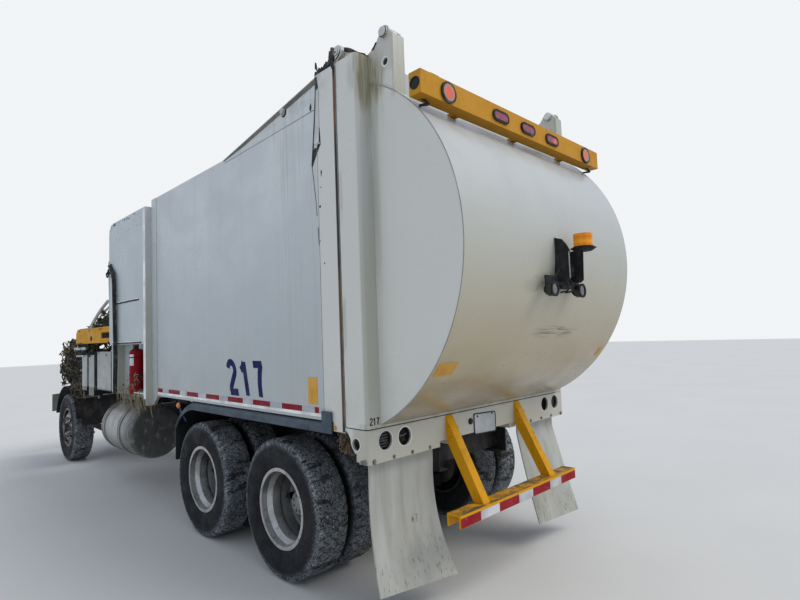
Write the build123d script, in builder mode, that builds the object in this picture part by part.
from build123d import *
import math
import os

# Three-axle side-loading refuse truck whose cab has been taken off.
# X points forward, Y to the left, Z up, in millimetres, with the ground at Z = 0.

os.makedirs("parts", exist_ok=True)

# Driving dimensions
REAR_AXLE_X = -2700
TANDEM_PITCH = 1340
WHEELBASE = 6280
FRONT_AXLE_X = REAR_AXLE_X + WHEELBASE
MID_AXLE_X = REAR_AXLE_X + TANDEM_PITCH
TYRE_R = 520
AXLE_Z = TYRE_R
BODY_HALF = 1220
HOPPER_HALF = 1295
FLOOR_Z = 1235
SIDE_TOP = 3400
RIM_TOP = 3640
FRAME_TOP = 1050

# Stations along the body
GATE_GAP_X = -3545
POST_FRONT_X = -3320
RAISE_X = -1910
STEP_X = -214
HOPPER_FRONT_X = 1050
SILL_BACK_X = -3755


def keep_part(part, node):
    part.label = node
    export_step(part, f"parts/{node}.step")


def keep(builder, node):
    keep_part(builder.part, node)


def xz(y):
    # Plane whose local x is X and local y is Z, and whose normal points to -Y.
    return Plane(origin=(0, y, 0), x_dir=(1, 0, 0), z_dir=(0, -1, 0))


def yz(x):
    # Plane whose local x is Y and local y is Z, and whose normal points to +X.
    return Plane(origin=(x, 0, 0), x_dir=(0, 1, 0), z_dir=(1, 0, 0))


def slab(x0, x1, y0, y1, z0, z1):
    # Box between two corners, added to the part that is being built.
    with Locations(((x0 + x1) / 2, (y0 + y1) / 2, (z0 + z1) / 2)):
        Box(x1 - x0, y1 - y0, z1 - z0)


def slab_cut(x0, x1, y0, y1, z0, z1):
    with Locations(((x0 + x1) / 2, (y0 + y1) / 2, (z0 + z1) / 2)):
        Box(x1 - x0, y1 - y0, z1 - z0, mode=Mode.SUBTRACT)


def side_plate(points, y0, y1, mode=Mode.ADD):
    # Closed outline of (X, Z) points, from Y = y0 to y1.
    with BuildSketch(xz(y1)) as outline:
        with BuildLine():
            Polyline(points, close=True)
        make_face()
    extrude(outline.sketch, amount=y1 - y0, mode=mode)


def cross_plate(points, x0, x1, mode=Mode.ADD):
    # Closed outline of (Y, Z) points, from X = x0 to x1.
    with BuildSketch(yz(x0)) as outline:
        with BuildLine():
            Polyline(points, close=True)
        make_face()
    extrude(outline.sketch, amount=x1 - x0, mode=mode)


def rod(start, end, radius, mode=Mode.ADD):
    # Round bar between two points.
    a, b = Vector(*start), Vector(*end)
    with BuildSketch(Plane(origin=a, z_dir=b - a)) as ring:
        Circle(radius)
    extrude(ring.sketch, amount=(b - a).length, mode=mode)


def pipe(points, radius, bend):
    # Round pipe along straight runs that are joined by bends of one radius.
    with BuildLine() as route:
        FilletPolyline(*points, radius=bend)
    with BuildSketch(Plane(origin=route.line @ 0, z_dir=route.line % 0)) as bore:
        Circle(radius)
    sweep(bore.sketch, path=route.line)


# Chassis frame: two channels that open inward, and their crossmembers
RAIL_Y = 430
RAIL_FLANGE = 85
RAIL_DEEP = 270
RAIL_WEB = 10
RAIL_BACK_X = -3640
RAIL_FRONT_X = 4500
RAIL_Z0 = FRAME_TOP - RAIL_DEEP
# Columns: middle X, length, height, middle Z
CROSSMEMBERS = [
    (-3500, 90, 200, 915),
    (-2700, 80, 110, 985),
    (-2030, 260, 220, 915),
    (-1360, 80, 110, 985),
    (-300, 90, 180, 915),
    (1500, 90, 130, 965),
    (4440, 90, 200, 915),
]
# Clevises on the rails that carried the front of the cab
CAB_PIVOT_X = 4400
CAB_PIVOT_Z = 1130
CAB_BORE_R = 20
with BuildPart() as frame_rails:
    for side in (1, -1):
        with BuildSketch(yz(RAIL_BACK_X)):
            with Locations((side * (RAIL_Y - RAIL_FLANGE / 2), FRAME_TOP - RAIL_DEEP / 2)):
                Rectangle(RAIL_FLANGE, RAIL_DEEP)
            with Locations((side * (RAIL_Y - RAIL_FLANGE / 2 - RAIL_WEB), FRAME_TOP - RAIL_DEEP / 2)):
                Rectangle(RAIL_FLANGE, RAIL_DEEP - 2 * RAIL_WEB, mode=Mode.SUBTRACT)
        extrude(amount=RAIL_FRONT_X - RAIL_BACK_X)
    for side in (1, -1):
        y = side * (RAIL_Y - 50)
        slab(CAB_PIVOT_X - 70, CAB_PIVOT_X + 70, y - 50, y + 50, FRAME_TOP, FRAME_TOP + 12)
        for ear in (-40, 26):
            side_plate([
                (CAB_PIVOT_X - 65, FRAME_TOP + 12),
                (CAB_PIVOT_X - 40, CAB_PIVOT_Z + 30),
                (CAB_PIVOT_X, CAB_PIVOT_Z + 45),
                (CAB_PIVOT_X + 40, CAB_PIVOT_Z + 30),
                (CAB_PIVOT_X + 65, FRAME_TOP + 12),
            ], y + ear, y + ear + 14)
        rod((CAB_PIVOT_X, y - 60, CAB_PIVOT_Z), (CAB_PIVOT_X, y + 60, CAB_PIVOT_Z), CAB_BORE_R, Mode.SUBTRACT)
keep(frame_rails, "frame_rails")

# Channels that open to the front
with BuildPart() as crossmembers:
    for x, length, height, z in CROSSMEMBERS:
        with Locations((x, 0, z)):
            Box(length, 2 * (RAIL_Y - RAIL_WEB), height)
        with Locations((x + RAIL_WEB, 0, z)):
            Box(length, 2 * RAIL_Y, height - 2 * RAIL_WEB, mode=Mode.SUBTRACT)
keep(crossmembers, "crossmembers")

# Tyres and rims, drawn as radius and distance from the wheel's middle plane
TYRE_HALF = 140
RIM_HALF = 118
BEAD_R = 286
FLANGE_R = 300
REAR_OUTER_Y = 1077
DUAL_PITCH = 335
FRONT_WHEEL_Y = 1062


def turned(points, y, mirrored):
    # Closed outline of (radius, depth) turned about the axle; depth grows outward.
    sign = -1 if mirrored else 1
    with BuildSketch(Plane(origin=(0, y, 0), x_dir=(0, 0, 1), z_dir=(1, 0, 0))) as ring:
        with BuildLine():
            Polyline([(r, -sign * d) for r, d in points], close=True)
        make_face()
    revolve(ring.sketch, axis=Axis((0, 0, 0), (0, 1, 0)))


def tyre_ring(y):
    # Tyre section turned about the axle line at the height of the hub.
    section = [
        (BEAD_R, -102),
        (FLANGE_R + 2, -104),
        (FLANGE_R + 5, -124),
        (BEAD_R + 90, -TYRE_HALF),
        (TYRE_R - 45, -TYRE_HALF + 6),
        (TYRE_R - 6, -TYRE_HALF + 26),
        (TYRE_R, -TYRE_HALF + 46),
    ]
    outline = section + [(r, -d) for r, d in reversed(section)]
    turned(outline, y, False)


# Barrel of the rim with both flanges; the dish is added to its inboard end
BARREL = [
    (FLANGE_R, -RIM_HALF),
    (FLANGE_R, -RIM_HALF + 12),
    (BEAD_R, -RIM_HALF + 14),
    (BEAD_R, -70),
    (BEAD_R - 26, -40),
    (BEAD_R - 26, 40),
    (BEAD_R, 70),
    (BEAD_R, RIM_HALF - 14),
    (FLANGE_R, RIM_HALF - 12),
    (FLANGE_R, RIM_HALF),
    (BEAD_R - 12, RIM_HALF),
    (BEAD_R - 12, 68),
    (BEAD_R - 38, 34),
    (BEAD_R - 38, -34),
    (BEAD_R - 12, -68),
    (BEAD_R - 12, -RIM_HALF),
]
# Dish of a twin wheel, from the barrel down to the mounting face
DISH = [
    (BEAD_R - 30, -30),
    (BEAD_R - 30, -55),
    (230, -120),
    (190, -155),
    (120, -158),
    (120, -167),
    (196, -167),
    (244, -128),
    (BEAD_R - 14, -62),
    (BEAD_R - 20, -30),
]
SPINDLE_R = 60
HUB_BORE = 65
HAND_HOLES = 5
# Brake drums, in the same way: an open rim inboard and a web at the hub
REAR_DRUM = [(200, -115), (200, 125), (130, 125), (130, 113), (185, 103), (185, -115)]
REAR_DRUM_Y = 755
# Hub of the twin wheels: flange behind the dishes, pilot through them and the closed end of the shaft
REAR_HUB = [
    (0, -84),
    (HUB_BORE, -84),
    (HUB_BORE, -209),
    (140, -209),
    (140, -172),
    (125, -172),
    (125, -150),
    (113, -146),
    (104, -80),
    (90, -76),
    (90, -46),
    (80, -38),
    (0, -38),
]
FRONT_DRUM = [(185, -62), (185, 8), (110, 8), (110, -4), (170, -14), (170, -62)]


# Rear wheels: (node prefix, axle X, side)
REAR_WHEELS = [
    ("rear_left", REAR_AXLE_X, 1),
    ("rear_right", REAR_AXLE_X, -1),
    ("middle_left", MID_AXLE_X, 1),
    ("middle_right", MID_AXLE_X, -1),
]
DISH_FACE = 167


def place(part, x, z=AXLE_Z):
    return part.moved(Location((x, 0, z)))


def rear_rim(side):
    with BuildPart() as rim:
        outer = side * REAR_OUTER_Y
        inner = side * (REAR_OUTER_Y - DUAL_PITCH)
        for y, flip in ((outer, side < 0), (inner, side > 0)):
            turned(BARREL, y, flip)
            turned(DISH, y, flip)
        turned(REAR_DRUM, side * REAR_DRUM_Y, side < 0)
        turned(REAR_HUB, outer, side < 0)
        face = side * (REAR_OUTER_Y - DISH_FACE)
        with Locations(Location((0, face + side * 20, 0), (90, 0, 0))):
            with PolarLocations(215, HAND_HOLES):
                Cylinder(30, 300, mode=Mode.SUBTRACT)
    return rim.part


def rear_tyres(side):
    with BuildPart() as tyres:
        tyre_ring(side * REAR_OUTER_Y)
        tyre_ring(side * (REAR_OUTER_Y - DUAL_PITCH))
    return tyres.part


for prefix, axle_x, side in REAR_WHEELS:
    keep_part(place(rear_rim(side), axle_x), f"{prefix}_rims")
    keep_part(place(rear_tyres(side), axle_x), f"{prefix}_tyres")

# Front wheels: the disc bulges outward from the inboard side
FRONT_DISC = [
    (BEAD_R - 30, 42),
    (BEAD_R - 18, 60),
    (236, 92),
    (196, 116),
    (110, 118),
    (110, 108),
    (190, 106),
    (226, 84),
    (BEAD_R - 40, 46),
    (BEAD_R - 36, 42),
]


def front_rim(side):
    y = side * FRONT_WHEEL_Y
    with BuildPart() as rim:
        turned(BARREL, y, side < 0)
        turned(FRONT_DISC, y, side < 0)
        turned(FRONT_DRUM, y, side < 0)
        with Locations(Location((0, y + side * 60, 0), (90, 0, 0))):
            Cylinder(118, 116)
        with Locations(Location((0, y + side * 140, 0), (90, 0, 0))):
            Cylinder(70, 60)
        with Locations(Location((0, y + side * 90, 0), (90, 0, 0))):
            with PolarLocations(212, HAND_HOLES):
                Cylinder(30, 160, mode=Mode.SUBTRACT)
        with Locations(Location((0, y + side * 40, 0), (90, 0, 0))):
            Cylinder(HUB_BORE - 15, 160, mode=Mode.SUBTRACT)
    return rim.part


for prefix, side in (("front_left", 1), ("front_right", -1)):
    with BuildPart() as front_tyre:
        tyre_ring(side * FRONT_WHEEL_Y)
    keep_part(place(front_rim(side), FRONT_AXLE_X), f"{prefix}_rim")
    keep_part(place(front_tyre.part, FRONT_AXLE_X), f"{prefix}_tyre")

# Drive axles: housing with its bowl, backing plates and spindles, drawn as radius and half width
HALF_HOUSING = [
    (0, 0),
    (205, 0),
    (198, 60),
    (160, 130),
    (98, 210),
    (76, 300),
    (76, 618),
    (195, 618),
    (195, 632),
    (SPINDLE_R, 632),
    (SPINDLE_R, 960),
    (0, 960),
]
PINION_REACH = 330
PINION_Z = AXLE_Z + 60
CHAMBER_Y = 300
with BuildPart() as housing:
    for side in (1, -1):
        turned(HALF_HOUSING, 0, side < 0)
with BuildPart() as drive_axles:
    for axle_x in (REAR_AXLE_X, MID_AXLE_X):
        add(place(housing.part, axle_x))
        with Locations(Location((axle_x + 205, 0, PINION_Z), (0, 90, 0))):
            Cone(165, 85, 250)
        for side in (1, -1):
            y = side * CHAMBER_Y
            slab(axle_x - 30, axle_x + 90, y - 15, y + 15, AXLE_Z, 660)
            rod((axle_x + 85, y, 620), (axle_x + 150, y, 620), 78)
            rod((axle_x + 150, y, 620), (axle_x + 230, y, 620), 66)
keep(drive_axles, "drive_axles")

# Tandem suspension: equalizer beams, saddles and leaf packs
BOGIE_X = (REAR_AXLE_X + MID_AXLE_X) / 2
with BuildPart() as tandem_suspension:
    for side in (1, -1):
        y = side * 505
        with BuildSketch(xz(y + 45)):
            with BuildLine():
                Polyline([
                    (REAR_AXLE_X - 90, 330),
                    (REAR_AXLE_X - 90, 440),
                    (REAR_AXLE_X + 150, 440),
                    (BOGIE_X - 200, 500),
                    (BOGIE_X + 200, 500),
                    (MID_AXLE_X - 150, 440),
                    (MID_AXLE_X + 90, 440),
                    (MID_AXLE_X + 90, 330),
                    (BOGIE_X + 220, 320),
                    (BOGIE_X - 220, 320),
                ], close=True)
            make_face()
        extrude(amount=90)
        slab(BOGIE_X - 110, BOGIE_X + 110, y - 60, y + 60, 490, 700)
        for step, half in enumerate((420, 520, 600)):
            z = 700 + 24 * step
            slab(BOGIE_X - half, BOGIE_X + half, y - 45, y + 45, z, z + 24)
        for x in (BOGIE_X - 560, BOGIE_X + 560):
            y0, y1 = sorted((side * RAIL_Y, y + side * 45))
            slab(x - 60, x + 60, y0, y1, 772, 900)
keep(tandem_suspension, "tandem_suspension")

# Front axle: dropped beam between the kingpins
KINGPIN_Y = 900
PIN_BOSS_R = 44
LUG_GAP = 65
LUG_END = 120
with BuildPart() as front_axle:
    with BuildSketch(yz(FRONT_AXLE_X - 38)):
        with BuildLine():
            Polyline([
                (-KINGPIN_Y + 10, AXLE_Z - 50),
                (-KINGPIN_Y + 10, AXLE_Z + 50),
                (-KINGPIN_Y + 90, AXLE_Z + 50),
                (-620, AXLE_Z - 60),
                (620, AXLE_Z - 60),
                (KINGPIN_Y - 90, AXLE_Z + 50),
                (KINGPIN_Y - 10, AXLE_Z + 50),
                (KINGPIN_Y - 10, AXLE_Z - 50),
                (KINGPIN_Y - 80, AXLE_Z - 50),
                (620, AXLE_Z - 170),
                (-620, AXLE_Z - 170),
                (-KINGPIN_Y + 80, AXLE_Z - 50),
            ], close=True)
        make_face()
    extrude(amount=76)
    for side in (1, -1):
        y = side * KINGPIN_Y
        rod((FRONT_AXLE_X, y, AXLE_Z - 50), (FRONT_AXLE_X, y, AXLE_Z + 50), PIN_BOSS_R)
        rod((FRONT_AXLE_X, y, AXLE_Z - LUG_END), (FRONT_AXLE_X, y, AXLE_Z + LUG_END), 24)
keep(front_axle, "front_axle")

SPRING_Y = 480
with BuildPart() as front_springs:
    for side in (1, -1):
        y = side * SPRING_Y
        slab(FRONT_AXLE_X - 90, FRONT_AXLE_X + 90, y - 50, y + 50, AXLE_Z - 60, 520)
        for step, half in enumerate((620, 480, 340)):
            z = 564 - 22 * step
            slab(FRONT_AXLE_X - half, FRONT_AXLE_X + half, y - 45, y + 45, z, z + 22)
        for x in (FRONT_AXLE_X - 590, FRONT_AXLE_X + 590):
            y0, y1 = sorted((side * RAIL_Y, y + side * 45))
            slab(x - 45, x + 45, y0, y1, 586, 900)
keep(front_springs, "front_springs")

# Steering knuckles: two lugs on the kingpin, a web, a spindle and a track arm
WEB_Y = PIN_BOSS_R + 11
for node, side in (("knuckle_left", 1), ("knuckle_right", -1)):
    with BuildPart() as knuckle:
        pin_y = side * KINGPIN_Y
        for z0 in (AXLE_Z - LUG_END, AXLE_Z + LUG_GAP):
            rod((FRONT_AXLE_X, pin_y, z0), (FRONT_AXLE_X, pin_y, z0 + LUG_END - LUG_GAP), 52)
            y0, y1 = sorted((pin_y, pin_y + side * (WEB_Y + 30)))
            slab(FRONT_AXLE_X - 52, FRONT_AXLE_X + 52, y0, y1, z0, z0 + LUG_END - LUG_GAP)
        y0, y1 = sorted((pin_y + side * WEB_Y, pin_y + side * (WEB_Y + 34)))
        slab(FRONT_AXLE_X - 52, FRONT_AXLE_X + 52, y0, y1, AXLE_Z - LUG_END, AXLE_Z + LUG_END)
        rod((FRONT_AXLE_X, pin_y + side * (WEB_Y + 30), AXLE_Z),
            (FRONT_AXLE_X, side * (FRONT_WHEEL_Y + 110), AXLE_Z), 45)
        y0, y1 = sorted((pin_y - side * 45, pin_y + side * 10))
        slab(FRONT_AXLE_X - 250, FRONT_AXLE_X - 20, y0, y1, AXLE_Z - LUG_END, AXLE_Z - LUG_END + 32)
        rod((FRONT_AXLE_X, pin_y, AXLE_Z - LUG_END - 5),
            (FRONT_AXLE_X, pin_y, AXLE_Z + LUG_END + 5), 24.5, Mode.SUBTRACT)
    keep(knuckle, node)

# Engine: an inline six, open to view where the cab is missing, exhaust side on the right
ENGINE_BACK_X = 2750
BLOCK_BACK_X = 2830
BLOCK_FRONT_X = 3880
BLOCK_MID_X = (BLOCK_BACK_X + BLOCK_FRONT_X) / 2
CRANK_Z = 960
PAN_TOP = 840
DECK_Z = 1290
HEAD_TOP = 1400
COVER_TOP = 1520
CYLINDERS = [2955 + 160 * n for n in range(6)]
PORT_Z = 1340
LOG_Y = -262
TURBO = (3400, -345, 1300)
FAN_Z = 1180
FAN_X = 4060
FAN_R = 290
BLADES = 8
RADIATOR_X = 4160
# Columns: back X, front X, Y, Z, radius
BOLTED_ON = [
    (3700, 3870, 258, 1205, 82),
    (3870, 3905, 258, 1205, 40),
    (3010, 3240, 250, 1100, 68),
    (BLOCK_BACK_X, 3090, -285, 905, 60),
    (BLOCK_FRONT_X + 40, 3985, 0, CRANK_Z, 118),
    (BLOCK_FRONT_X + 40, FAN_X, 0, FAN_Z, 58),
]
with BuildPart() as engine:
    rod((ENGINE_BACK_X, 0, CRANK_Z), (BLOCK_BACK_X, 0, CRANK_Z), 270)
    cross_plate([
        (-170, DECK_Z), (-190, 1180), (-205, 980), (-250, 900), (-250, PAN_TOP),
        (250, PAN_TOP), (250, 900), (205, 980), (190, 1180), (170, DECK_Z),
    ], BLOCK_BACK_X, BLOCK_FRONT_X)
    slab(BLOCK_BACK_X + 20, BLOCK_FRONT_X - 20, -165, 165, DECK_Z, HEAD_TOP)
    # Rocker cover
    with BuildSketch(Plane.XY.offset(HEAD_TOP)) as cover:
        with Locations((BLOCK_MID_X, 0)):
            RectangleRounded(980, 250, 40)
    extrude(cover.sketch, amount=COVER_TOP - HEAD_TOP, taper=8)
    # Oil pan with its deep end at the back
    with BuildSketch(Plane.XY.offset(PAN_TOP)) as pan_top:
        with Locations((BLOCK_MID_X, 0)):
            RectangleRounded(1010, 440, 30)
    with BuildSketch(Plane.XY.offset(680)) as pan_bottom:
        with Locations((3120, 0)):
            RectangleRounded(460, 320, 30)
    loft([pan_top.sketch, pan_bottom.sketch])
    # Timing cover
    cross_plate([
        (-230, 850), (-230, 1060), (-140, DECK_Z - 10), (140, DECK_Z - 10), (230, 1060), (230, 850),
    ], BLOCK_FRONT_X, BLOCK_FRONT_X + 40)
    for back_x, front_x, y, z, radius in BOLTED_ON:
        rod((back_x, y, z), (front_x, y, z), radius)
    # Inlet manifold, exhaust log with its six ports, and turbocharger
    slab(CYLINDERS[0] - 60, CYLINDERS[-1] + 60, 160, 250, PORT_Z - 40, PORT_Z + 45)
    for x in CYLINDERS:
        rod((x, -160, PORT_Z), (x, LOG_Y, PORT_Z + 25), 30)
    rod((CYLINDERS[0] - 40, LOG_Y, PORT_Z + 25), (CYLINDERS[-1] + 40, LOG_Y, PORT_Z + 25), 42)
    rod((TURBO[0] - 130, TURBO[1], TURBO[2]), (TURBO[0] + 120, TURBO[1], TURBO[2]), 62)
    for shift, tube in ((-70, 44), (70, 52)):
        with Locations(Location((TURBO[0] + shift, TURBO[1], TURBO[2]), (0, 90, 0))):
            Torus(78, tube)
    pipe([
        (TURBO[0] + 60, TURBO[1] - 60, TURBO[2] + 60),
        (TURBO[0] + 200, TURBO[1] - 40, 1480),
        (3960, -350, 1460),
        (RADIATOR_X, -350, 1460),
    ], 34, 60)
    pipe([(3800, 60, 1440), (3900, 60, 1530), (4030, 150, 1635), (RADIATOR_X - 10, 150, 1635)], 30, 50)
    # Mounts on the rail webs
    for x in (2900, 3700):
        for side in (1, -1):
            y0, y1 = sorted((side * 200, side * (RAIL_Y - RAIL_WEB)))
            slab(x, x + 100, y0, y1, 850, 960)
    # Fan
    with Locations(Location((FAN_X, 0, FAN_Z), (0, 90, 0))):
        with PolarLocations((FAN_R + 40) / 2, BLADES):
            Box(FAN_R - 40, 95, 8, rotation=(28, 0, 0))
keep(engine, "engine")

# Gearbox behind its bell housing, with the shafts to both drive axles
BELL_BACK_X = 2560
CASE_BACK_X = 2080
GEARBOX_BACK_X = 1950
with BuildPart() as gearbox_and_shafts:
    with Locations(Location(((BELL_BACK_X + ENGINE_BACK_X) / 2, 0, CRANK_Z), (0, 90, 0))):
        Cone(195, 262, ENGINE_BACK_X - BELL_BACK_X)
    with BuildSketch(yz(CASE_BACK_X)) as case_back:
        with Locations((0, 930)):
            RectangleRounded(300, 320, 60)
    with BuildSketch(yz(BELL_BACK_X)) as case_front:
        with Locations((0, 950)):
            RectangleRounded(370, 400, 60)
    loft([case_back.sketch, case_front.sketch])
    rod((GEARBOX_BACK_X, 0, 900), (CASE_BACK_X, 0, 900), 110)
    slab(2180, 2420, -290, -150, 820, 960)
    rod((MID_AXLE_X + PINION_REACH + 5, 0, PINION_Z), (GEARBOX_BACK_X + 10, 0, 890), 48)
    rod((REAR_AXLE_X + PINION_REACH, 0, PINION_Z), (MID_AXLE_X - 215, 0, PINION_Z), 44)
keep(gearbox_and_shafts, "gearbox_and_shafts")

with BuildPart() as radiator:
    slab(RADIATOR_X, RADIATOR_X + 100, -400, 400, 1060, 1600)
    slab(RADIATOR_X, RADIATOR_X + 100, -330, 330, 780, 1060)
    # Top tank
    with BuildSketch(xz(410)) as tank:
        with BuildLine():
            Line((RADIATOR_X - 10, 1600), (RADIATOR_X - 10, 1665))
            ThreePointArc((RADIATOR_X - 10, 1665), (RADIATOR_X + 50, 1690), (RADIATOR_X + 110, 1665))
            Line((RADIATOR_X + 110, 1665), (RADIATOR_X + 110, 1600))
            Line((RADIATOR_X + 110, 1600), (RADIATOR_X - 10, 1600))
        make_face()
    extrude(tank.sketch, amount=820)
    # Fan ring
    with BuildSketch(yz(FAN_X - 20)) as ring:
        with Locations((0, FAN_Z)):
            Circle(FAN_R + 34)
            Circle(FAN_R + 16, mode=Mode.SUBTRACT)
    extrude(ring.sketch, amount=RADIATOR_X - FAN_X + 20)
keep(radiator, "radiator")

# Fuel tank on the left, its straps and cradles
TANK_BACK_X = 650
TANK_FRONT_X = 1800
TANK_R = 330
TANK_Y = 860
TANK_Z = 705
with BuildPart() as fuel_tank:
    rod((TANK_BACK_X, TANK_Y, TANK_Z), (TANK_FRONT_X, TANK_Y, TANK_Z), TANK_R)
    fillet(fuel_tank.edges().filter_by(GeomType.CIRCLE), 45)
keep(fuel_tank, "fuel_tank")

STRAP_STATIONS = (1040, 1640)
with BuildPart() as tank_straps:
    for x in STRAP_STATIONS:
        rod((x - 32, TANK_Y, TANK_Z), (x + 32, TANK_Y, TANK_Z), TANK_R + 7)
        side_plate([(x - 32, 420), (x + 32, 420), (x + 32, 1000), (x - 32, 1000)], RAIL_Y, TANK_Y - 150)
    rod((TANK_BACK_X, TANK_Y, TANK_Z), (TANK_FRONT_X, TANK_Y, TANK_Z), TANK_R + 1, Mode.SUBTRACT)
keep(tank_straps, "tank_straps")

# Battery box on the right
with BuildPart() as battery_box:
    slab(1250, 2150, -1180, -560, 640, 1160)
    slab(1350, 1420, -560, -RAIL_Y, 800, 900)
    slab(1980, 2050, -560, -RAIL_Y, 800, 900)
keep(battery_box, "battery_box")

# Front bumper
BUMPER_FRONT_X = 4630
with BuildPart() as front_bumper:
    with BuildSketch(Plane.XY.offset(700)) as plan:
        with BuildLine():
            Polyline([
                (BUMPER_FRONT_X, -1060),
                (BUMPER_FRONT_X, 1060),
                (BUMPER_FRONT_X - 110, 1200),
                (BUMPER_FRONT_X - 122, 1200),
                (BUMPER_FRONT_X - 12, 1055),
                (BUMPER_FRONT_X - 12, -1055),
                (BUMPER_FRONT_X - 122, -1200),
                (BUMPER_FRONT_X - 110, -1200),
            ], close=True)
        make_face()
    extrude(plan.sketch, amount=290)
    for side in (1, -1):
        y = side * (RAIL_Y - 40)
        slab(RAIL_FRONT_X, BUMPER_FRONT_X - 12, y - 30, y + 30, 790, 970)
keep(front_bumper, "front_bumper")

# Front wheel arches, open below so that the wheels can steer
ARCH_R = 645
ARCH_FOOT_Z = 700
SPLASH_X = 2905
with BuildPart() as front_arches:
    for side in (1, -1):
        y0, y1 = sorted((side * 780, side * 1205))
        with BuildSketch(xz(y1)) as ring:
            with Locations((FRONT_AXLE_X, AXLE_Z)):
                Circle(ARCH_R + 8)
                Circle(ARCH_R, mode=Mode.SUBTRACT)
            with Locations((FRONT_AXLE_X, ARCH_FOOT_Z - 1000)):
                Rectangle(3000, 2000, mode=Mode.SUBTRACT)
        extrude(ring.sketch, amount=y1 - y0)
        b0, b1 = sorted((side * RAIL_Y, side * 782))
        for x in (FRONT_AXLE_X - 400, FRONT_AXLE_X + 400):
            slab(x - 25, x + 25, b0, b1, 1040, 1070)
        # Splash panel that closes the bay behind the wheel
        y0, y1 = sorted((side * (RAIL_Y + 110), side * 1150))
        slab(SPLASH_X - 8, SPLASH_X, y0, y1, 600, 1140)
        slab(SPLASH_X - 40, SPLASH_X - 8, y0, y1, 1100, 1140)
        b0, b1 = sorted((side * RAIL_Y, side * (RAIL_Y + 111)))
        slab(SPLASH_X - 40, SPLASH_X, b0, b1, 1000, 1040)
        b0, b1 = sorted((side * 900, side * 960))
        slab(SPLASH_X - 1, FRONT_AXLE_X - 405, b0, b1, 1000, 1030)
keep(front_arches, "front_arches")

# Service cabinet, posts and the yellow valve box on the left behind the wheel
with BuildPart() as service_cabinet:
    slab(1300, 1900, 700, 1205, 1200, 1715)
    slab(1360, 1840, 350, 900, FRAME_TOP + 1, 1200)
keep(service_cabinet, "service_cabinet")

with BuildPart() as wing_panels:
    slab(2070, 2310, 1120, 1200, 1100, 1670)
    slab(2420, 2660, 1120, 1200, 1160, 1670)
    slab(2070, 2660, 1100, 1120, 1400, 1670)
    slab(2100, 2180, 345, 1100, FRAME_TOP + 1, 1100)
    slab(2100, 2180, 1080, 1120, 1051, 1420)
keep(wing_panels, "wing_panels")

with BuildPart() as valve_box:
    side_plate([(1290, 1835), (1290, 2050), (2920, 2050), (3000, 1990), (3000, 1835)], 820, 1200)
    slab_cut(1340, 1750, 1150, 1210, 1895, 1975)
    for x in (1400, 1780):
        slab(x - 30, x + 30, 900, 1000, 1715, 1835)
    slab(2560, 2640, 1000, 1098, 1670, 1835)
    slab(2560, 2640, 1000, 1098, 1500, 1670)
keep(valve_box, "valve_box")

with BuildPart() as riser_pipe:
    pipe([(1100, 1180, 1230), (1100, 1250, 2000), (1100, 1262, 2860), (1180, 1150, 2990)], 28, 70)
keep(riser_pipe, "riser_pipe")

# Load body: thin walls between a stout ring at the back and the hopper
WALL = 30
SIDE_IN = BODY_HALF - WALL
FLOOR_TOP = FLOOR_Z + WALL
SIDE_OUTLINE = [
    (POST_FRONT_X, FLOOR_Z),
    (STEP_X - 140, FLOOR_Z),
    (STEP_X, FLOOR_Z - 100),
    (STEP_X, SIDE_TOP),
    (RAISE_X, SIDE_TOP),
    (POST_FRONT_X, RIM_TOP - 10),
]
for node, side in (("body_side_left", 1), ("body_side_right", -1)):
    y0, y1 = sorted((side * SIDE_IN, side * BODY_HALF))
    with BuildPart() as body_side:
        side_plate(SIDE_OUTLINE, y0, y1)
        y0, y1 = sorted((side * BODY_HALF, side * (BODY_HALF + 6)))
        slab(STEP_X - 130, STEP_X, y0, y1, FLOOR_Z, SIDE_TOP)
    keep(body_side, node)

with BuildPart() as body_roof:
    side_plate([
        (STEP_X, SIDE_TOP),
        (RAISE_X, SIDE_TOP),
        (POST_FRONT_X, RIM_TOP - 10),
        (POST_FRONT_X, RIM_TOP - 40),
        (RAISE_X, SIDE_TOP - 30),
        (STEP_X, SIDE_TOP - 30),
    ], -SIDE_IN, SIDE_IN)
keep(body_roof, "body_roof")

# Floor on two long sills, with outriggers under it
# X and reach of each outrigger: short ones above the fenders
OUTRIGGERS = [(-3250, 600), (-2780, 600), (-2160, 600), (-1540, 600), (-920, 1100)]
with BuildPart() as body_floor:
    slab(POST_FRONT_X, STEP_X, -SIDE_IN, SIDE_IN, FLOOR_Z, FLOOR_TOP)
    for side in (1, -1):
        y = side * (RAIL_Y - RAIL_FLANGE / 2)
        slab(-3540, STEP_X, y - 40, y + 40, FRAME_TOP, FLOOR_Z)
        for x, reach in OUTRIGGERS:
            y0, y1 = sorted((y + side * 40, side * reach))
            slab(x - 30, x + 30, y0, y1, FLOOR_Z - 45, FLOOR_Z)
keep(body_floor, "body_floor")

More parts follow.
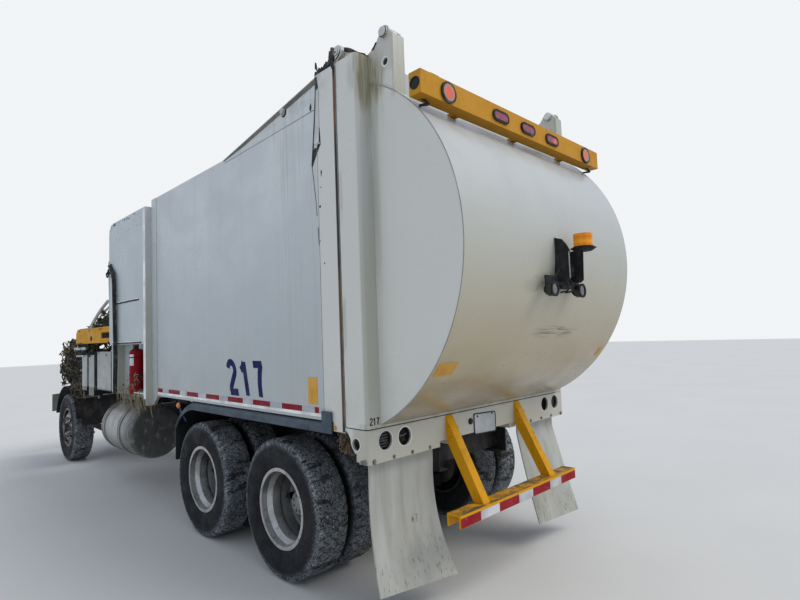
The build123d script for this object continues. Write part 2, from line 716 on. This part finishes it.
RING_BACK_X = GATE_GAP_X + 5
HINGE_Z = 3720
HINGE_PIN_R = 20
LUG_R = 52
POST_FOOT_Z = 1174
with BuildPart() as body_rear_ring:
    slab(RING_BACK_X, POST_FRONT_X, -BODY_HALF, BODY_HALF, FLOOR_Z, RIM_TOP)
    slab_cut(RING_BACK_X, POST_FRONT_X, -1120, 1120, FLOOR_TOP, 3540)
    for side in (1, -1):
        y0, y1 = sorted((side * 1120, side * BODY_HALF))
        slab(RING_BACK_X, POST_FRONT_X - 100, y0, y1, POST_FOOT_Z, FLOOR_Z)
        y0, y1 = sorted((side * 1172, side * 1200))
        side_plate([
            (POST_FRONT_X - 40, RIM_TOP - 1),
            (GATE_GAP_X - 20, HINGE_Z + 38),
            (GATE_GAP_X - 42, HINGE_Z),
            (GATE_GAP_X - 20, HINGE_Z - 38),
            (GATE_GAP_X + 8, RIM_TOP - 1),
        ], y0, y1)
        rod((GATE_GAP_X, y0, HINGE_Z), (GATE_GAP_X, y1, HINGE_Z), LUG_R)
        rod((GATE_GAP_X, side * 1130, HINGE_Z), (GATE_GAP_X, side * 1214, HINGE_Z), HINGE_PIN_R)
keep(body_rear_ring, "body_rear_ring")

# Wall between the body and the hopper, with the packing mouth
MOUTH_RIGHT = -895
with BuildPart() as body_front_wall:
    slab(STEP_X - WALL, STEP_X, -SIDE_IN, SIDE_IN, FLOOR_TOP, SIDE_TOP - WALL)
    slab_cut(STEP_X - WALL, STEP_X, MOUTH_RIGHT, 1160, 1830, 2650)
keep(body_front_wall, "body_front_wall")

# Hopper: wider than the body on the left, set in on the right beside the arm
HOPPER_TOP = 3320
HOPPER_FLOOR = 1830
HOPPER_RIGHT = -900
HOPPER_BASE = 1200
CORNER_R = 150
NICHE_Y = 1095
with BuildPart() as hopper_left:
    with BuildSketch(xz(HOPPER_HALF)) as cheek:
        with BuildLine():
            Line((STEP_X, HOPPER_FLOOR), (STEP_X, HOPPER_TOP))
            Line((STEP_X, HOPPER_TOP), (HOPPER_FRONT_X - CORNER_R, HOPPER_TOP))
            RadiusArc((HOPPER_FRONT_X - CORNER_R, HOPPER_TOP), (HOPPER_FRONT_X, HOPPER_TOP - CORNER_R), CORNER_R)
            Line((HOPPER_FRONT_X, HOPPER_TOP - CORNER_R), (HOPPER_FRONT_X, HOPPER_FLOOR))
            Line((HOPPER_FRONT_X, HOPPER_FLOOR), (STEP_X, HOPPER_FLOOR))
        make_face()
    extrude(cheek.sketch, amount=WALL)
    slab(STEP_X, STEP_X + 10, SIDE_IN, HOPPER_HALF - WALL, 1130, HOPPER_TOP)
    slab(STEP_X, STEP_X + 10, HOPPER_HALF - WALL, HOPPER_HALF, 1130, HOPPER_FLOOR)
keep(hopper_left, "hopper_left")

with BuildPart() as hopper_floor:
    slab(STEP_X, HOPPER_FRONT_X - WALL, HOPPER_RIGHT + WALL, SIDE_IN, HOPPER_FLOOR - WALL, HOPPER_FLOOR)
    slab(STEP_X + 10, HOPPER_FRONT_X - WALL, SIDE_IN, HOPPER_HALF, HOPPER_FLOOR - WALL, HOPPER_FLOOR - 0.5)
    slab(STEP_X + 10, HOPPER_FRONT_X - WALL, NICHE_Y, NICHE_Y + WALL, HOPPER_BASE, HOPPER_FLOOR - WALL)
    slab(STEP_X + 10, HOPPER_FRONT_X - WALL, NICHE_Y + WALL, 1250, HOPPER_BASE, HOPPER_BASE + 20)
    for x0, x1 in ((STEP_X, STEP_X + 120), (HOPPER_FRONT_X - 150, HOPPER_FRONT_X - WALL)):
        for side in (1, -1):
            y = side * (RAIL_Y - RAIL_FLANGE / 2)
            slab(x0, x1, y - 40, y + 40, FRAME_TOP, HOPPER_FLOOR - WALL)
keep(hopper_floor, "hopper_floor")

with BuildPart() as hopper_front:
    cross_plate([
        (HOPPER_RIGHT, HOPPER_BASE),
        (HOPPER_RIGHT, 2500),
        (-700, HOPPER_TOP - CORNER_R),
        (HOPPER_HALF - WALL, HOPPER_TOP - CORNER_R),
        (HOPPER_HALF - WALL, HOPPER_BASE),
    ], HOPPER_FRONT_X - WALL, HOPPER_FRONT_X)
    # The right wall is set in beside the arm
    slab(STEP_X, HOPPER_FRONT_X - WALL, HOPPER_RIGHT, HOPPER_RIGHT + WALL, HOPPER_BASE, 2500)
    slab(STEP_X, HOPPER_FRONT_X - WALL, HOPPER_RIGHT - 50, HOPPER_RIGHT + WALL, 2500, 2530)
keep(hopper_front, "hopper_front")

with BuildPart() as packer_blade:
    side_plate([
        (650, 1840),
        (650, 2480),
        (700, 2540),
        (980, 2280),
        (980, 1840),
    ], -860, 1250)
keep(packer_blade, "packer_blade")

# Fire extinguisher in the niche, with its squeeze handles
BOTTLE_AT = (330, 1208)
BOTTLE_R = 79
with BuildPart() as extinguisher:
    x, y = BOTTLE_AT
    rod((x, y, HOPPER_BASE + 22), (x, y, 1745), BOTTLE_R)
    fillet(extinguisher.edges().filter_by(GeomType.CIRCLE).sort_by(Axis.Z)[-1], 50)
    rod((x, y, 1735), (x, y, 1765), 20)
    slab(x - 30, x + 75, y - 14, y + 14, 1755, 1773)
    slab(x - 22, x + 85, y - 12, y + 12, 1781, 1795)
    slab(x - 30, x - 10, y - 14, y + 14, 1773, 1795)
keep(extinguisher, "extinguisher")

# Tailgate: a ring, a barrel skin with flat ends, and two lift towers on top
BARREL_X = -3260
BARREL_Z = 2345
BARREL_R = 1224
BARREL_HALF = 1100
GATE_FRONT_X = RING_BACK_X - 12
SKIN = 20
GATE_BOTTOM_Z = 1213
CORNER_POST_R = 28
with BuildPart() as tailgate_frame:
    slab(SILL_BACK_X, GATE_FRONT_X, -BODY_HALF, BODY_HALF, GATE_BOTTOM_Z, RIM_TOP)
    slab_cut(SILL_BACK_X, GATE_FRONT_X, -1060, 1060, 1300, 3420)
    posts = tailgate_frame.edges().filter_by(Axis.Z).group_by(Axis.X)[0]
    fillet([edge for edge in posts if abs(edge.center().Y) > BODY_HALF - 1], CORNER_POST_R)
    for side in (1, -1):
        y0, y1 = sorted((side * 1138, side * 1166))
        side_plate([
            (SILL_BACK_X + 30, RIM_TOP - 1),
            (GATE_FRONT_X - 10, RIM_TOP - 1),
            (GATE_GAP_X + 20, HINGE_Z - 38),
            (GATE_GAP_X + 42, HINGE_Z),
            (GATE_GAP_X + 20, HINGE_Z + 38),
            (GATE_GAP_X - 20, HINGE_Z + 38),
        ], y0, y1)
        rod((GATE_GAP_X, y0, HINGE_Z), (GATE_GAP_X, y1, HINGE_Z), LUG_R)
        bore = ((GATE_GAP_X, side * 1130, HINGE_Z), (GATE_GAP_X, side * 1170, HINGE_Z))
        rod(*bore, HINGE_PIN_R + 1, Mode.SUBTRACT)
keep(tailgate_frame, "tailgate_frame")

with BuildPart() as tailgate_barrel:
    for radius, half, mode in (
        (BARREL_R, BARREL_HALF, Mode.ADD),
        (BARREL_R - SKIN, BARREL_HALF - SKIN, Mode.SUBTRACT),
    ):
        with BuildSketch(xz(half)) as lens:
            with Locations((BARREL_X, BARREL_Z)):
                Circle(radius)
            with Locations((SILL_BACK_X - 1000, BARREL_Z)):
                Rectangle(2000, 4000, mode=Mode.INTERSECT)
        extrude(lens.sketch, amount=2 * half, mode=mode)
keep(tailgate_barrel, "tailgate_barrel")

TOWER_PIN = (-3900, 3750)
TOWER_BACK_X = -3973
with BuildPart() as tailgate_towers:
    for side in (1, -1):
        for y in (985, 1065):
            y0, y1 = sorted((side * y, side * (y + 20)))
            side_plate([
                (SILL_BACK_X + 85, RIM_TOP + 1),
                (SILL_BACK_X + 60, RIM_TOP + 20),
                (SILL_BACK_X - 12, RIM_TOP + 44),
                (SILL_BACK_X - 66, RIM_TOP + 84),
                (TOWER_PIN[0] + 45, TOWER_PIN[1] + 20),
                (TOWER_PIN[0], TOWER_PIN[1] + 45),
                (TOWER_BACK_X, TOWER_PIN[1] - 30),
                (TOWER_BACK_X, 3300),
                (SILL_BACK_X - 1, 3300),
                (SILL_BACK_X - 1, RIM_TOP + 1),
            ], y0, y1)
        y0, y1 = sorted((side * 985, side * 1085))
        slab(TOWER_BACK_X, TOWER_BACK_X + 15, y0, y1, 3300, TOWER_PIN[1] - 30)
        rod((-3895, side * 980, 3560), (-3895, side * 1090, 3560), 36, Mode.SUBTRACT)
        rod((TOWER_PIN[0], side * 968, TOWER_PIN[1]), (TOWER_PIN[0], side * 1104, TOWER_PIN[1]), 36)
    rod((BARREL_X, -1200, BARREL_Z), (BARREL_X, 1200, BARREL_Z), BARREL_R + 0.5, Mode.SUBTRACT)
keep(tailgate_towers, "tailgate_towers")

# Hollow lamp bar with its lamps: round at the ends, oval between them
BAR_BACK_X = -4260
BAR_Z = 3270
with BuildPart() as light_bar:
    slab(BAR_BACK_X, BAR_BACK_X + 95, -1157, 1157, 3204, 3349)
    slab_cut(BAR_BACK_X + 6, BAR_BACK_X + 89, -1151, 1151, 3210, 3343)
    rod((BAR_BACK_X + 48, -1160, BAR_Z + 5), (BAR_BACK_X + 48, 1160, BAR_Z + 5), 38, Mode.SUBTRACT)
    for y in (-700, 0, 700):
        slab(BAR_BACK_X + 95, -4000, y - 30, y + 30, 3215, 3235)
    rod((BARREL_X, -1200, BARREL_Z), (BARREL_X, 1200, BARREL_Z), BARREL_R + 0.5, Mode.SUBTRACT)
keep(light_bar, "light_bar")

# Beacon shelf and work lamp bracket on the barrel's apex
BEACON_AT = (-4600, -75)
# Inner face of each bracket plate and its outline
BRACKET_SIDES = [
    (100, [
        (-4400, 2120), (-4400, 2420), (-4479, 2418), (-4537, 2400), (-4566, 2362), (-4590, 2318),
        (-4580, 2117), (-4544, 2105), (-4483, 2120),
    ]),
    (-60, [
        (-4400, 2120), (-4400, 2330), (-4606, 2330), (-4598, 2123), (-4575, 2105), (-4495, 2117),
    ]),
]
WORK_LAMP_X = -4545
WORK_LAMP_Z = 2056
WORK_LAMP_Y = (255, -125)
with BuildPart() as lamp_bracket:
    for y, outline in BRACKET_SIDES:
        side_plate(outline, y, y + 8)
    slab(-4540, -4500, -60, 108, 2150, 2240)
    slab(-4510, -4500, WORK_LAMP_Y[1] - 40, WORK_LAMP_Y[0] + 40, 2085, 2150)
    with Locations((*BEACON_AT, 2335)):
        Cone(58, 88, 20)
    with Locations((*BEACON_AT, 2345)):
        Cylinder(72, 100, align=(Align.CENTER, Align.CENTER, Align.MIN), mode=Mode.SUBTRACT)
    rod((BARREL_X, -1200, BARREL_Z), (BARREL_X, 1200, BARREL_Z), BARREL_R + 0.5, Mode.SUBTRACT)
keep(lamp_bracket, "lamp_bracket")

with BuildPart() as beacon:
    with Locations((*BEACON_AT, 2345)):
        Cylinder(64, 98, align=(Align.CENTER, Align.CENTER, Align.MIN))
keep(beacon, "beacon")

OVAL = (165, 57)
with BuildPart() as tailgate_lamps:
    for y in (-910, 910):
        rod((BAR_BACK_X - 14, y, BAR_Z), (BAR_BACK_X, y, BAR_Z), 56)
    for y in (-348, 0, 348):
        with BuildSketch(yz(BAR_BACK_X - 12)) as oval:
            with Locations((y, BAR_Z)):
                SlotOverall(*OVAL)
        extrude(oval.sketch, amount=12)
    for y in WORK_LAMP_Y:
        rod((WORK_LAMP_X, y, WORK_LAMP_Z), (WORK_LAMP_X + 34, y, WORK_LAMP_Z), 47)
        slab(WORK_LAMP_X + 34, WORK_LAMP_X + 54, y - 12, y + 12, 2056, 2085)
keep(tailgate_lamps, "tailgate_lamps")

# Rear sill, bumper and mud flaps, fixed to the chassis
SILL_Z0 = 995
SILL_Z1 = 1206
LAMP_HOLES_Y = (-1067, -893, 893, 1067)
LAMP_HOLE_Z = 1127
LAMP_HOLE_R = 60
END_HOLE_R = 38
STRIP_TOP_Z = 1036
STRIP_IN_Y = 545
FLAP_BAR_X = -3660
with BuildPart() as rear_sill:
    slab(SILL_BACK_X, SILL_BACK_X + 14, -BODY_HALF, BODY_HALF, STRIP_TOP_Z, SILL_Z1)
    for y in LAMP_HOLES_Y:
        rod((SILL_BACK_X - 1, y, LAMP_HOLE_Z), (SILL_BACK_X + 15, y, LAMP_HOLE_Z), LAMP_HOLE_R, Mode.SUBTRACT)
    slab(SILL_BACK_X + 14, GATE_GAP_X, -BODY_HALF, BODY_HALF, SILL_Z1 - 14, SILL_Z1)
    for side in (1, -1):
        y0, y1 = sorted((side * STRIP_IN_Y, side * BODY_HALF))
        slab(SILL_BACK_X, SILL_BACK_X + 14, y0, y1, SILL_Z0, STRIP_TOP_Z)
        y0, y1 = sorted((side * (BODY_HALF - 14), side * BODY_HALF))
        side_plate([
            (SILL_BACK_X + 14, SILL_Z0),
            (SILL_BACK_X + 14, SILL_Z1 - 14),
            (GATE_GAP_X, SILL_Z1 - 14),
            (GATE_GAP_X - 22, 1178),
            (GATE_GAP_X - 44, 1147),
            (GATE_GAP_X - 52, 1106),
            (GATE_GAP_X - 84, 1062),
            (GATE_GAP_X - 130, 1034),
            (GATE_GAP_X - 130, SILL_Z0),
        ], y0, y1)
        y0, y1 = sorted((side * (BODY_HALF - 40), side * (BODY_HALF - 14)))
        slab(SILL_BACK_X + 14, SILL_BACK_X + 40, y0, y1, SILL_Z0, SILL_Z1 - 14)
        rod((-3648, side * 1200, 1113), (-3648, side * 1225, 1113), END_HOLE_R, Mode.SUBTRACT)
        y0, y1 = sorted((side * (RAIL_Y + 4), side * (RAIL_Y - RAIL_FLANGE - 4)))
        slab(SILL_BACK_X + 14, RAIL_BACK_X - 1, y0, y1, SILL_Z0, SILL_Z1 - 14)
        # Bar that the mud flap hangs on
        y0, y1 = sorted((side * (RAIL_Y + 4), side * (BODY_HALF - 14)))
        slab(FLAP_BAR_X, FLAP_BAR_X + 30, y0, y1, 1000, 1040)
    corners = rear_sill.edges().filter_by(Axis.Z).group_by(Axis.X)[0]
    fillet([edge for edge in corners if abs(edge.center().Y) > BODY_HALF - 1], CORNER_POST_R - 2)
keep(rear_sill, "rear_sill")

# Grommets behind the sill's empty lamp holes
with BuildPart() as sill_lamps:
    for y in LAMP_HOLES_Y:
        rod((SILL_BACK_X + 14, y, LAMP_HOLE_Z), (SILL_BACK_X + 52, y, LAMP_HOLE_Z), LAMP_HOLE_R + 5)
        rod((SILL_BACK_X + 14, y, LAMP_HOLE_Z), (SILL_BACK_X + 46, y, LAMP_HOLE_Z), LAMP_HOLE_R, Mode.SUBTRACT)
keep(sill_lamps, "sill_lamps")

BUMPER_BACK_X = -4085
with BuildPart() as rear_bumper:
    slab(BUMPER_BACK_X, BUMPER_BACK_X + 10, -755, 755, 560, 640)
    slab(BUMPER_BACK_X, BUMPER_BACK_X + 110, -755, 755, 630, 640)
    slab(BUMPER_BACK_X + 100, BUMPER_BACK_X + 110, -755, 755, 560, 640)
    for side in (1, -1):
        y = side * 438
        side_plate([
            (SILL_BACK_X - 1, 1206),
            (SILL_BACK_X - 1, 1030),
            (BUMPER_BACK_X + 110, 640),
            (BUMPER_BACK_X + 25, 640),
        ], y - 36, y + 36)
keep(rear_bumper, "rear_bumper")

# Mud flaps, set back by use: each hangs from its bar in an arc that differs from edge to edge
FLAP = 10
FLAP_TOP = 1040
FLAP_BEND = 900
# Columns: Y of one edge, its (X, Z) half way down and at the bottom, then the same for the other edge
FLAPS = [
    (1140, (-3682, 520), (-3742, 170), 535, (-3700, 520), (-3862, 158)),
    (-560, (-3748, 560), (-3848, 182), -1150, (-3768, 560), (-3892, 166)),
]


def flap_edge(y, middle, bottom):
    # Thin strip in the plane of one edge of the flap.
    top_x = FLAP_BAR_X - 1 - FLAP
    with BuildSketch(xz(y)) as strip:
        with BuildLine():
            Line((top_x, FLAP_TOP), (top_x, FLAP_BEND))
            ThreePointArc((top_x, FLAP_BEND), middle, bottom)
            Line(bottom, (bottom[0] + FLAP, bottom[1]))
            ThreePointArc(
                (bottom[0] + FLAP, bottom[1]),
                (middle[0] + FLAP, middle[1]),
                (top_x + FLAP, FLAP_BEND),
            )
            Line((top_x + FLAP, FLAP_BEND), (top_x + FLAP, FLAP_TOP))
            Line((top_x + FLAP, FLAP_TOP), (top_x, FLAP_TOP))
        make_face()
    return strip.sketch


with BuildPart() as mud_flaps:
    for first_y, first_middle, first_bottom, last_y, last_middle, last_bottom in FLAPS:
        loft([
            flap_edge(first_y, first_middle, first_bottom),
            flap_edge(last_y, last_middle, last_bottom),
        ])
keep(mud_flaps, "mud_flaps")

# Fenders over the tandem: three lengths of one rolled section, the front one with a curved nose
FENDER_TOP = 1224
FENDER_IN = 620
FENDER_OUT = 1238
FENDER_ROLL = 52
FENDER_LIP = 68
FENDER_T = 12
NOSE_X = -1290
NOSE_R = 590
NOSE_SWEEP = 54
# Back and front X of each length
FENDER_LENGTHS = [(-3362, -3154), (-3151, -1961), (-1958, NOSE_X)]
FRONT_FLAP_Z = 628


def fender_section(x, side):
    # Rolled outer corner with a lip below it, in the plane across the truck at X.
    outer, inner = FENDER_OUT, FENDER_OUT - FENDER_T
    roll_y = FENDER_OUT - FENDER_ROLL
    roll_z = FENDER_TOP - FENDER_ROLL
    diagonal = math.sqrt(0.5)
    turn_out = (roll_y + FENDER_ROLL * diagonal, roll_z + FENDER_ROLL * diagonal)
    turn_in = (turn_out[0] - FENDER_T * diagonal, turn_out[1] - FENDER_T * diagonal)
    with BuildSketch(yz(x)) as section:
        with BuildLine():
            Line((side * FENDER_IN, FENDER_TOP), (side * roll_y, FENDER_TOP))
            ThreePointArc((side * roll_y, FENDER_TOP), (side * turn_out[0], turn_out[1]), (side * outer, roll_z))
            Polyline(
                (side * outer, roll_z),
                (side * outer, FENDER_TOP - FENDER_LIP),
                (side * inner, FENDER_TOP - FENDER_LIP),
                (side * inner, roll_z),
            )
            ThreePointArc(
                (side * inner, roll_z),
                (side * turn_in[0], turn_in[1]),
                (side * roll_y, FENDER_TOP - FENDER_T),
            )
            Polyline(
                (side * roll_y, FENDER_TOP - FENDER_T),
                (side * FENDER_IN, FENDER_TOP - FENDER_T),
                (side * FENDER_IN, FENDER_TOP),
            )
        make_face()
    return section.sketch


with BuildPart() as fenders:
    for side in (1, -1):
        for back_x, front_x in FENDER_LENGTHS:
            extrude(fender_section(back_x, side), amount=front_x - back_x)
        revolve(
            fender_section(NOSE_X, side),
            axis=Axis((NOSE_X, 0, FENDER_TOP - NOSE_R), (0, 1, 0)),
            revolution_arc=NOSE_SWEEP,
        )
        y0, y1 = sorted((side * (FENDER_OUT - FENDER_T), side * FENDER_OUT))
        slab(-3415, -3310, y0, y1, FENDER_TOP - FENDER_LIP, 1300)
        # Rubber apron that hangs from the nose in front of the middle wheels
        nose_x = NOSE_X + (NOSE_R - 3) * math.sin(math.radians(NOSE_SWEEP))
        nose_z = FENDER_TOP - NOSE_R + (NOSE_R - 3) * math.cos(math.radians(NOSE_SWEEP))
        y0, y1 = sorted((side * (FENDER_IN + 10), side * (FENDER_OUT - 15)))
        slab(nose_x - 10, nose_x, y0, y1, FRONT_FLAP_Z, nose_z)
keep(fenders, "fenders")

# Arm: outer tubes under the hopper
TUBE_STATIONS = (180, 660)
TUBE = 130
TUBE_Z = 1125
with BuildPart() as arm_tubes:
    for x in TUBE_STATIONS:
        slab(x - TUBE / 2, x + TUBE / 2, -890, 690, TUBE_Z - TUBE / 2, TUBE_Z + TUBE / 2)
        slab_cut(x - 52, x + 52, -890, 690, TUBE_Z - 52, TUBE_Z + 52)
        for side in (1, -1):
            y = side * (RAIL_Y - RAIL_FLANGE / 2)
            slab(x - 65, x + 65, y - 40, y + 40, FRAME_TOP, TUBE_Z - TUBE / 2)
    slab(TUBE_STATIONS[0] - 65, TUBE_STATIONS[1] + 65, 690, 700, TUBE_Z - TUBE / 2, TUBE_Z + TUBE / 2)
keep(arm_tubes, "arm_tubes")

# Arm carriage: inner beams, end plate and mast
MAST_X = 420
LIFT_Y = -1030
LIFT_Z = 1950
SHAFT_R = 40
with BuildPart() as arm_carriage:
    for x in TUBE_STATIONS:
        slab(x - 46, x + 46, -912, 600, TUBE_Z - 46, TUBE_Z + 46)
    slab(60, 780, -937, -912, 1050, 1260)
    slab(MAST_X - 110, MAST_X + 110, -1000, -937, 1050, 1900)
    slab(MAST_X - 110, MAST_X + 110, LIFT_Y, -937, 1885, 2015)
    rod((MAST_X - 120, LIFT_Y, LIFT_Z), (MAST_X + 120, LIFT_Y, LIFT_Z), 75)
    rod((MAST_X - 130, LIFT_Y, LIFT_Z), (MAST_X + 130, LIFT_Y, LIFT_Z), SHAFT_R + 2, Mode.SUBTRACT)
keep(arm_carriage, "arm_carriage")

BEAM_OUT_Y = -1105
FINGER_PIN_Y = -1160
FINGER_REACH = 424
FRONT_PIN_X = 720
REAR_PIN_X = 120
with BuildPart() as lift_arm:
    for x0 in (MAST_X - 156, MAST_X + 128):
        cross_plate([
            (LIFT_Y - 80, LIFT_Z - 40),
            (LIFT_Y - 55, LIFT_Z + 60),
            (LIFT_Y + 55, LIFT_Z + 60),
            (LIFT_Y + 80, LIFT_Z - 40),
            (LIFT_Y + 40, 960),
            (LIFT_Y - 70, 960),
        ], x0, x0 + 28)
    rod((MAST_X - 156, LIFT_Y, LIFT_Z), (MAST_X + 156, LIFT_Y, LIFT_Z), SHAFT_R)
    slab(REAR_PIN_X - 50, FRONT_PIN_X + 50, BEAM_OUT_Y, -985, 790, 970)
    for x, z in ((FRONT_PIN_X, 880), (FRONT_PIN_X, 950), (REAR_PIN_X, 790), (REAR_PIN_X, 860)):
        slab(x - 45, x + 45, FINGER_PIN_Y - 45, BEAM_OUT_Y, z, z + 20)
    rod((FRONT_PIN_X, FINGER_PIN_Y, 875), (FRONT_PIN_X, FINGER_PIN_Y, 975), 20)
    rod((REAR_PIN_X, FINGER_PIN_Y, 785), (REAR_PIN_X, FINGER_PIN_Y, 885), 20)
keep(lift_arm, "lift_arm")

ARC_R = 300
HALF_BAND = 30
for node, pin_x, toward, z in (
    ("gripper_finger_front", FRONT_PIN_X, -1, 905),
    ("gripper_finger_rear", REAR_PIN_X, 1, 815),
):
    with BuildPart() as finger:
        centre = (pin_x + toward * FINGER_REACH / 2, FINGER_PIN_Y + FINGER_REACH / 2)
        with BuildSketch(Plane.XY.offset(z)) as claw:
            with BuildLine():
                outer = CenterArc(centre, ARC_R + HALF_BAND, 225, 90)
                inner = CenterArc(centre, ARC_R - HALF_BAND, 225, 90)
                Line(outer @ 0, inner @ 0)
                Line(outer @ 1, inner @ 1)
            make_face()
            with Locations((pin_x, FINGER_PIN_Y)):
                Circle(42)
                Circle(21, mode=Mode.SUBTRACT)
        extrude(claw.sketch, amount=40)
    keep(finger, node)
